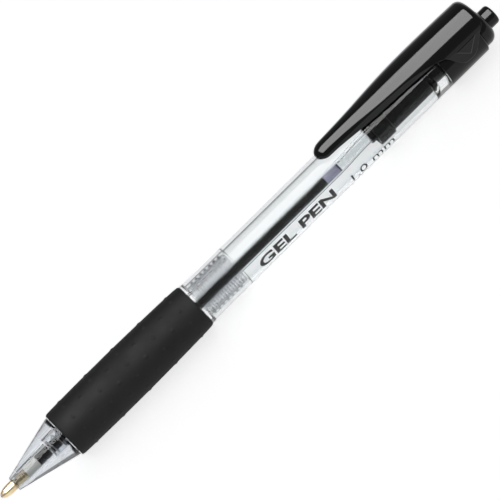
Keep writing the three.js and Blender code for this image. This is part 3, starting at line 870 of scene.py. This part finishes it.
@dataclass
class Grip:
    """The rubber grip with its rings of low nubs."""

    radius: float = 5.8
    nub_height: float = 0.12
    nub_rings: int = 9
    nubs_per_ring: int = 10
    nub_front: float = 22.1
    nub_pitch: float = 3.83
    bore: float = 4.45
    nub_turn: float = -0.07

    def build(self) -> None:
        """Turns the sleeve and raises the nubs on its outside."""
        front, rear = AXIS.span("grip_sleeve")
        knots = [front, front + 0.4, front + 1.2, front + 3.2, 24.0, 40.0, 46.0, 52.0, rear - 1.0, rear]
        radii = [5.44, 5.6, 5.66, 5.72, 5.76, 5.78, 5.68, 5.54, 5.41, 5.32]
        station = np.linspace(front + 0.12, rear - 0.25, 300)
        outside = np.stack([station, smooth_line(station, knots, radii)], axis=-1)
        front_edge = self.edge(front, outside[0], np.linspace(np.pi, np.pi / 2, 6), 0.12)
        rear_edge = self.edge(rear, outside[-1], np.linspace(np.pi / 2, 0.0, 6), 0.25)
        inside = np.array([[rear, self.bore + 0.1], [rear - 0.1, self.bore]])
        inner_front = np.array([[front + 0.1, self.bore], [front, self.bore + 0.1]])
        profile = np.concatenate([front_edge, outside[1:-1], rear_edge, inside, inner_front])
        angle = angles(288)[None]
        radius = profile[:, 1:] + self.nubs(profile, angle)
        mesh = mesh_of("grip_sleeve_look", AXIS.turned(profile[:, :1], radius, angle), Ends.LOOP)
        show(mesh, SoftRubber().material(), "front", "black_rubber", "grip_sleeve")

    def edge(self, end: float, corner: Array, turn: Array, size: float) -> Array:
        """A quarter of an ellipse from a flat end to the outside's first or last point."""
        reach = abs(corner[0] - end)
        return corner - [0.0, size] + np.stack([reach * np.cos(turn), size * np.sin(turn)], axis=-1)

    def nubs(self, profile: Array, angle: Array) -> Array:
        """Height of the nubs: (1 - d^2)^2 of their height, with d the distance to the nearest
        nub's middle over its radius. Every other ring is turned by half a step.

        Args:
            profile: the sleeve's [station, radius] rows.
            angle: the angles round the axis, as one row.

        Returns:
            Heights, one for each profile row and angle.
        """
        station = profile[:, :1]
        ring = np.clip(np.round((station - self.nub_front) / self.nub_pitch), 0, self.nub_rings - 1)
        along = station - self.nub_front - ring * self.nub_pitch
        steps = (angle - self.nub_turn) / TURN * self.nubs_per_ring - (ring % 2) / 2
        around = (steps - np.round(steps)) * TURN / self.nubs_per_ring * profile[:, 1:]
        size = 0.5 + 0.16 * np.sin(np.pi * ring / (self.nub_rings - 1))
        near = np.clip(1 - (along**2 + around**2) / size**2, 0.0, 1.0)
        outside = profile[:, 1:] > self.bore + 0.3
        return np.where(outside, self.nub_height * near**2, 0.0)


@dataclass(frozen=True)
class Lettering:
    """A printed line: its piece, its words, the station where it starts, the height of its
    capitals and how much each stroke is fattened in millimetres, the angle from the clip to
    its middle in degrees, and how much wider than the font's its letters are."""

    name: str
    words: str
    station: float
    tall: float
    bold: float
    middle: float
    stretch: float


@dataclass
class Barrel:
    """The clear thick-walled barrel and what is printed on it."""

    clear: Material
    radius: float = 5.0
    bore: float = 4.0
    thread_bore: float = 4.25
    housing_bore: float = 3.6
    neck_bore: float = 2.45
    print_lift: float = 0.012

    def build(self) -> None:
        """Makes the tube and the two lines of print."""
        joint, rear = AXIS.span("barrel")
        _, thread_rear = AXIS.span("front_section")
        housing, _ = AXIS.span("rear_housing")
        profile = [
            [joint, self.thread_bore], [joint, self.radius + 0.1],
            [joint + 1.8, self.radius + 0.06], [joint + 4.5, self.radius],
            [housing - 0.05, self.radius], [housing - 0.05, self.housing_bore],
            [rear, self.housing_bore], [rear, self.neck_bore],
            [housing - 2.5, self.neck_bore], [housing - 4.3, self.bore],
            [thread_rear + 0.32, self.bore], [thread_rear + 0.3, self.thread_bore],
        ]
        mesh = turned_mesh("barrel_look", rounded(profile, 0.12, True), True, 128)
        show(mesh, self.clear, "barrel", "clear_plastic", "barrel")
        ink = PadInk().material()
        for line in (
            Lettering("body_print_name", "GEL PEN", 71.3, 2.5, 0.11, 91.0, 1.62),
            Lettering("body_print_size", "1.0 mm", 96.8, 2.1, 0.0, 102.0, 1.45),
        ):
            self.letter(line, ink)

    def letter(self, line: Lettering, ink: Material) -> None:
        """Lays a line of plain lettering on the barrel: across the page it follows the
        stations, and up the page it follows the angle, towards the clip.

        Args:
            line: what is printed, and where.
            ink: its finish.
        """
        text = bpy.data.curves.new(line.name + "_text", "FONT")
        text.body = line.words
        text.size = line.tall / 0.7
        text.offset = line.bold
        text.resolution_u = 6
        writer = bpy.data.objects.new(text.name, text)
        bpy.context.scene.collection.objects.link(writer)
        flat = bpy.data.meshes.new_from_object(
            writer.evaluated_get(bpy.context.evaluated_depsgraph_get())
        )
        bpy.data.objects.remove(writer)
        work = bmesh.new()
        work.from_mesh(flat)
        for height in np.arange(0.1, line.tall, 0.2):
            geometry = work.verts[:] + work.edges[:] + work.faces[:]
            bmesh.ops.bisect_plane(work, geom=geometry, plane_co=(0, height, 0), plane_no=(0, 1, 0))
        bmesh.ops.triangulate(work, faces=work.faces)
        work.to_mesh(flat)
        work.free()
        page = np.zeros(len(flat.vertices) * 3)
        flat.vertices.foreach_get("co", page)
        page = page.reshape(-1, 3)
        angle = np.radians(line.middle) - (page[:, 1] - line.tall / 2) / self.radius
        radius = np.full(len(page), self.radius + self.print_lift)
        placed = AXIS.turned(line.station + line.stretch * page[:, 0], radius, angle)
        flat.vertices.foreach_set("co", placed.ravel())
        flat.name = line.name
        flat.update()
        piece = show(flat, ink, "barrel", "black_ink")
        skin = piece.modifiers.new("ink_thickness", "SOLIDIFY")
        skin.thickness = self.print_lift * MM * 0.8
        skin.offset = 0.0


# ---- Push mechanism -----------------------------------------------------------------------
@dataclass
class PushMechanism:
    """The guide sleeve, the rotor and the push button."""

    gloss: Material
    sleeve_bore: float = 1.8
    slot_radius: float = 2.45
    sleeve_radius: float = 3.05
    collar_radius: float = 3.55
    neck_radius: float = 2.35
    shaft_radius: float = 0.85
    button_radius: float = 2.29
    flange_radius: float = 2.8

    def build(self) -> None:
        """Makes the sleeve and the button, and dresses the rotor."""
        self.sleeve()
        self.rotor()
        self.button()

    def sleeve(self) -> None:
        """The guide sleeve: collar, body and neck."""
        front, rear = AXIS.span("cam_sleeve")
        housing, _ = AXIS.span("rear_housing")
        neck_front = housing - 3.1
        profile = [
            [front, self.slot_radius], [front, self.collar_radius],
            [front + 3.9, self.collar_radius], [front + 4.1, self.sleeve_radius],
            [housing - 3.8, self.sleeve_radius], [neck_front, self.neck_radius],
            [rear, self.neck_radius], [rear, self.sleeve_bore],
            [front + 9.1, self.sleeve_bore], [front + 8.9, self.sleeve_bore],
            [front + 0.7, self.sleeve_bore], [front + 0.7, self.slot_radius],
        ]
        rows = split_long(rounded(profile, 0.12, True), 1.0, True)
        angle = angles(192)[None]
        in_bore = (rows[:, 1:] < self.sleeve_bore + 0.02) & (rows[:, :1] < front + 9.0)
        groove = self.near_quarters(rows, angle, 0.56) * (self.slot_radius - self.sleeve_bore)
        radius = rows[:, 1:] + np.where(in_bore, groove, 0.0)
        mesh = mesh_of("cam_sleeve_look", AXIS.turned(rows[:, :1], radius, angle), Ends.LOOP)
        dull = BlackGloss("black_gloss_inner", roughness=0.35, specular=0.06)
        show(mesh, dull.material(), "barrel", "black_gloss", "cam_sleeve")

    def near_quarters(self, rows: Array, angle: Array, half: float) -> Array:
        """1 near every quarter turn and 0 elsewhere: with d = r |angle to it|, it falls from 1
        to 0 as d grows from half - 0.1 mm to half."""
        nearest = np.round(angle * 4 / TURN) * TURN / 4
        return smooth_step((half - np.abs(angle - nearest) * rows[:, 1:]) / 0.1)

    def rotor(self) -> None:
        """The rotor behind the refill: a disc with four ribs, and a shaft."""
        _, rear = AXIS.span("cam_rotor")
        _, tube_rear = AXIS.span("refill_tube")
        disc = tube_rear + 0.1
        face = self.sleeve_bore - 0.1
        profile = [
            [disc, 0.0], [disc, face], [disc + 1.4, face], [disc + 1.4, self.shaft_radius],
            [rear - 0.5, self.shaft_radius], [rear, 0.5], [rear, 0.0],
        ]
        rows = rounded(profile, 0.1, False)
        angle = angles(192)[None]
        on_disc = (rows[:, 1:] > 1.5) & (rows[:, :1] < disc + 1.5)
        rib = self.near_quarters(rows, angle, 0.42) * (self.slot_radius - self.sleeve_bore)
        radius = rows[:, 1:] + np.where(on_disc, rib, 0.0)
        mesh = mesh_of("cam_rotor_look", AXIS.turned(rows[:, :1], radius, angle), Ends.POLES)
        show(mesh, self.gloss, "rotor", "black_gloss", "cam_rotor")

    def button(self) -> None:
        """The button, its flange and the stalk, which is hollow in front."""
        front, end = AXIS.span("push_button")
        flange = AXIS.span("rear_collar")[0] + 1.2
        stalk = self.sleeve_bore - 0.1
        r = self.button_radius
        profile = [
            [front + 10.0, 0.0], [front + 10.0, 1.0], [front + 0.5, 1.0], [front + 0.5, stalk],
            [flange, stalk], [flange, self.flange_radius],
            [flange + 0.4, self.flange_radius], [flange + 0.4, r],
            [end - 0.6, r], [end - 0.18, r - 0.16], [end, r - 0.6], [end, 0.0],
        ]
        mesh = turned_mesh("push_button_look", rounded(profile, 0.22, False), False)
        show(mesh, self.gloss, "button", "black_gloss", "push_button")


# ---- Rear housing and clip ----------------------------------------------------------------
@dataclass
class RearHousing:
    """The black housing and the collar that the button comes out of."""

    gloss: Material
    radius: float = 5.0
    bore: float = 3.65
    collar_radius: float = 4.35
    hole: float = 2.39
    flange_room: float = 2.9

    def build(self) -> None:
        """Makes the housing and the collar."""
        front, seam = AXIS.span("rear_housing")
        inner, rear = AXIS.span("rear_collar")
        shell = [
            [front, self.bore], [front, self.radius],
            [seam - 0.25, self.radius], [seam, self.radius - 0.2], [seam, self.bore],
        ]
        plug = self.bore - 0.05
        collar = [
            [inner, self.flange_room], [inner, plug],
            [seam + 0.05, plug], [seam + 0.05, self.collar_radius],
            [rear - 1.6, self.collar_radius], [rear - 0.8, 4.05],
            [rear - 0.25, 3.5], [rear, 2.95], [rear, self.hole],
            [rear - 1.1, self.hole], [rear - 1.1, self.flange_room],
        ]
        for node, profile, corner in (("rear_housing", shell, 0.15), ("rear_collar", collar, 0.3)):
            mesh = turned_mesh(node + "_look", rounded(profile, corner, True), True)
            show(mesh, self.gloss, "barrel", "black_gloss", node)


@dataclass
class Clip:
    """The clip: a crowned arm, and a saddle with a lobe down each side of the housing."""

    gloss: Material
    under: float = 5.35
    saddle_half: float = 5.15
    lobe_centre: float = 133.0
    lobe_low: float = -0.45
    seat_radius: float = 4.93
    edge_round: float = 0.38
    tip_round: float = 2.3
    rear_round: float = 1.7
    badge_height: float = 0.12
    top_points: int = 48
    side_points: int = 84
    seat_points: int = 64

    def build(self) -> None:
        """Lofts the clip through its sections."""
        tip, root = AXIS.span("clip_arm")
        saddle, rear = AXIS.span("clip_saddle")
        ease = (1 - np.cos(np.linspace(0.0, np.pi / 2, 90))) * (saddle - 1 - tip) + tip
        rest = np.sin(np.linspace(0.0, np.pi / 2, 190)) * (rear - saddle + 1) + saddle - 1
        station = np.concatenate([ease[:-1], rest])
        grid = self.sections(station, tip, rear)
        mesh = mesh_of("clip_look", grid, Ends.CAPS)
        clip = show(mesh, self.gloss, None, "black_gloss", "clip_arm", "clip_saddle")
        start, end = [(AXIS.x(s), 0.0, AXIS.height) for s in (saddle + 1.8, root - 2.2)]
        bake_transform(clip)

    def lobe_line(self, station: Array) -> Array:
        """Height of the clip's lower edge: the arm's underside, then down and up again round
        the lobe, along cubic curves from point to point."""
        near = self.lobe_centre
        tip = near - 37.8
        lead = [tip, tip + 5, tip + 9, tip + 12.6, tip + 19, tip + 24, tip + 28]
        drop = [self.under, self.under, 5.1, 4.88, 4.95, 5.12, 5.25]
        knots = [near - 6.0, near - 4.7, near - 3.9, near - 3.2, near - 2.5, near - 1.4, near]
        values = [self.under, 4.75, 3.5, 2.1, 0.85, -0.2, self.lobe_low]
        knots += [near + 1.4, near + 2.6, near + 3.8, near + 5.0, near + 6.1, near + 6.9]
        values += [-0.25, 0.7, 2.15, 3.8, 4.95, 5.6]
        return smooth_line(station, lead + knots, drop + values)

    def sections(self, station: Array, tip: float, rear: float) -> Array:
        """The clip's sections. The top is a crown arc, top - R + sqrt(R^2 - y^2). The sides
        are upright, rounded at their lower ends. The underside is flat at the lower edge, or
        follows the housing where that is higher. Both ends shrink like quarter ellipses.

        Args:
            station: the stations of the sections.
            tip: the station of the free end.
            rear: the station of the rear end.

        Returns:
            Points, as sections by points by 3.
        """
        s = station[:, None]
        e_tip = np.clip((tip + self.tip_round - s) / self.tip_round, 0.0, 1.0)
        e_rear = np.clip((s - rear + self.rear_round) / self.rear_round, 0.0, 1.0)
        full_tip = np.sqrt(np.clip(1 - e_tip**2, 1e-4, 1.0))
        full_rear = np.sqrt(np.clip(1 - e_rear**2, 1e-4, 1.0))
        knots = [tip, tip + 9, tip + 18, tip + 27, tip + 34]
        half = smooth_line(s, knots, [2.15, 2.6, 3.3, 4.15, self.saddle_half])
        half = half * full_tip * (0.5 + 0.5 * full_rear)
        heights = smooth_line(s, [tip, tip + 12, tip + 24, tip + 35, rear], [7.8, 8.05, 8.4, 8.3, 8.0])
        middle = 6.3
        bow = 0.3 * np.clip((tip + 3.6 - s) / 3.6, 0.0, 1.0) ** 1.7
        top = middle + (heights - bow - middle) * full_tip * full_rear
        low = self.lobe_line(s)
        low = middle - (middle - low) * full_tip
        crown = smooth_line(s, knots, [2.25, 3.0, 4.4, 5.2, 5.3])
        crown = np.maximum(crown * full_tip, 1.002 * half)
        across = half * np.sin(np.linspace(-np.pi / 2, np.pi / 2, self.top_points))[None]
        roof = top - crown + np.sqrt(crown**2 - across**2)
        shoulder = roof[:, :1]
        drop = np.linspace(0.0, 1.0, self.side_points + 2)[None, 1:-1]
        side = shoulder + (low - shoulder) * drop
        size = np.minimum(self.edge_round, 0.45 * (shoulder - low))
        inset = size * (1 - np.sqrt(1 - np.clip(1 - (side - low) / size, 0.0, 1.0) ** 2))
        wall = half - inset + self.badge(s, side)
        floor_half = half - size
        under = floor_half * np.sin(np.linspace(-np.pi / 2, np.pi / 2, self.seat_points))[None]
        seat = np.sqrt(np.clip(self.seat_radius**2 - under**2, 0.0, None))
        arch = low + (self.under - low) * np.clip(1 - (under / half) ** 4, 0.0, 1.0)
        floor = np.where(s > self.lobe_centre - 6.2, np.maximum(low, seat), arch)
        floor = floor - self.pad(s, under, tip)
        across_all = np.concatenate([across, wall, under[:, ::-1], -wall[:, ::-1]], axis=1)
        up_all = np.concatenate([roof, side, floor[:, ::-1], side[:, ::-1]], axis=1)
        return AXIS.place(s, across_all, up_all)

    def pad(self, station: Array, across: Array, tip: float) -> Array:
        """The round pad under the free end: a low bowl, 1 - d^2 of its depth."""
        away = ((station - tip - 3.6) / 1.7) ** 2 + (across / 1.1) ** 2
        return 0.28 * np.sqrt(np.clip(1 - away, 0.0, None))

    def badge(self, station: Array, up: Array) -> Array:
        """Height of the rounded triangle raised on each lobe: the product of three smooth
        steps, one inwards from each of its sides.

        Args:
            station: the sections' stations, as one column.
            up: heights on the side walls.

        Returns:
            Heights in millimetres.
        """
        corners = np.array([[-2.0, 3.95], [3.3, 3.95], [0.5, 1.0]]) + [self.lobe_centre, 0.0]
        height = np.full(np.broadcast_shapes(station.shape, up.shape), self.badge_height)
        for start, end in zip(corners, np.roll(corners, -1, 0)):
            side = end - start
            inward = (station - start[0]) * side[1] - (up - start[1]) * side[0]
            height = height * smooth_step(inward / np.hypot(*side) / 0.26 + 0.5)
        return height


# ---- Studio -------------------------------------------------------------------------------
@dataclass
class Studio:
    """A pale floor, a soft box over the pen and the camera."""

    roll: float = 44.6
    elevation: float = 43.5
    towards_point: float = 4.5
    distance: float = 0.69
    lens: float = 239.7
    floor_colour: Triple = (0.93, 0.935, 0.94)
    box_tilt: float = 36.0
    box_half: float = 30.0
    box_distance: float = 0.6
    box_radiance: float = 13.5
    room_strength: float = 0.32
    floor_half: float = 3.0
    floor_glow: float = 0.72
    aim_station: float = 72.35
    aim_above: float = 0.28

    def build(self) -> None:
        """Sets everything up."""
        self.floor()
        self.surroundings()
        self.soft_box()
        self.camera()
        scene = bpy.context.scene
        scene.view_settings.view_transform = "Standard"
        scene.cycles.max_bounces = 24
        scene.cycles.transmission_bounces = 20
        scene.cycles.glossy_bounces = 8
        scene.cycles.transparent_max_bounces = 16

    def view_vectors(self) -> tuple[Vector, Vector]:
        """The direction from the pen to the camera, and the direction up the pen's side that
        is square to it."""
        tilt = np.radians(self.elevation)
        level = Vector((0.0, -np.cos(tilt), np.sin(tilt)))
        lean = np.radians(self.towards_point)
        towards = level * np.cos(lean) - Vector((1.0, 0.0, 0.0)) * np.sin(lean)
        return towards, Vector((0.0, np.sin(tilt), np.cos(tilt)))

    def floor(self) -> None:
        """A plain pale sheet under the pen, with a faint unevenness."""
        half = self.floor_half
        corners = [(-half, -half, 0.0), (half, -half, 0.0), (half, half, 0.0), (-half, half, 0.0)]
        mesh = bpy.data.meshes.new("floor")
        mesh.from_pydata(corners, [], [(0, 1, 2, 3)])
        sheet = bpy.data.objects.new("floor", mesh)
        bpy.context.scene.collection.objects.link(sheet)
        recipe = Recipe("pale_floor")
        cloud = recipe.noise(3.0, 2.0)
        pale = recipe.blend(cloud, self.floor_colour, (0.96, 0.96, 0.96))
        material = recipe.surface({
            "Base Color": pale,
            "Roughness": 0.9,
            "Specular IOR Level": 0.0,
            "Emission Color": (1.0, 1.0, 1.0, 1.0),
            "Emission Strength": self.floor_glow,
        })
        mesh.materials.append(material)

    def surroundings(self) -> None:
        """A room that is dimmer than the floor, so that clear edges show."""
        world = bpy.data.worlds.new("soft_room")
        bpy.context.scene.world = world
        world.use_nodes = True
        room = world.node_tree.nodes["Background"]
        room.inputs["Color"].default_value = (1.0, 1.0, 1.0, 1.0)
        room.inputs["Strength"].default_value = self.room_strength

    def soft_box(self) -> None:
        """A wide soft box: it fills the angles between 6 and 66 degrees above the camera."""
        towards, above = self.view_vectors()
        tilt = np.radians(self.box_tilt)
        flat = Vector((0.0, towards.y, towards.z)).normalized()
        way = (flat * np.cos(tilt) + above * np.sin(tilt)).normalized()
        light = bpy.data.lights.new("soft_box", "AREA")
        light.shape = "RECTANGLE"
        light.size = 1.5 * self.box_distance
        light.size_y = 2 * self.box_distance * np.tan(np.radians(self.box_half))
        light.energy = self.box_radiance * np.pi * light.size * light.size_y
        lamp = bpy.data.objects.new("soft_box", light)
        bpy.context.scene.collection.objects.link(lamp)
        side = Vector((1.0, 0.0, 0.0))
        turned = Matrix((side, way.cross(side), way)).transposed()
        place = Vector((0.0, 0.0, AXIS.height)) + way * self.box_distance
        lamp.matrix_world = Matrix.Translation(place) @ turned.to_4x4()
        lamp.visible_camera = False
        lamp.visible_diffuse = False
        lamp.visible_transmission = False

    def camera(self) -> None:
        """The camera: it looks down at the pen, turned so that the pen runs corner to corner."""
        towards, above = self.view_vectors()
        along = Vector((1.0, 0.0, 0.0))
        along = (along - towards * along.dot(towards)).normalized()
        above = (above - towards * above.dot(towards)).normalized()
        roll = np.radians(self.roll)
        right = along * np.cos(roll) - above * np.sin(roll)
        up = along * np.sin(roll) + above * np.cos(roll)
        data = bpy.data.cameras.new("camera")
        data.lens = self.lens
        data.sensor_width = 36.0
        data.clip_start = 0.01
        camera = bpy.data.objects.new("camera", data)
        bpy.context.scene.collection.objects.link(camera)
        aim = Vector((AXIS.x(self.aim_station), 0.0, AXIS.height)) + above * self.aim_above * MM
        turned = Matrix((right, up, towards)).transposed()
        camera.matrix_world = Matrix.Translation(aim + towards * self.distance) @ turned.to_4x4()
        bpy.context.scene.camera = camera


def main() -> None:
    """Builds the pen and the studio."""
    logging.basicConfig(level=logging.INFO, format="%(message)s")
    clear = ClearPlastic().material()
    gloss = BlackGloss().material()
    Refill(clear).build()
    ReturnSpring().build()
    FrontSection().build()
    Grip().build()
    Barrel(clear).build()
    PushMechanism(gloss).build()
    RearHousing(gloss).build()
    Clip(gloss).build()
    Studio().build()


if __name__ == "__main__":
    main()
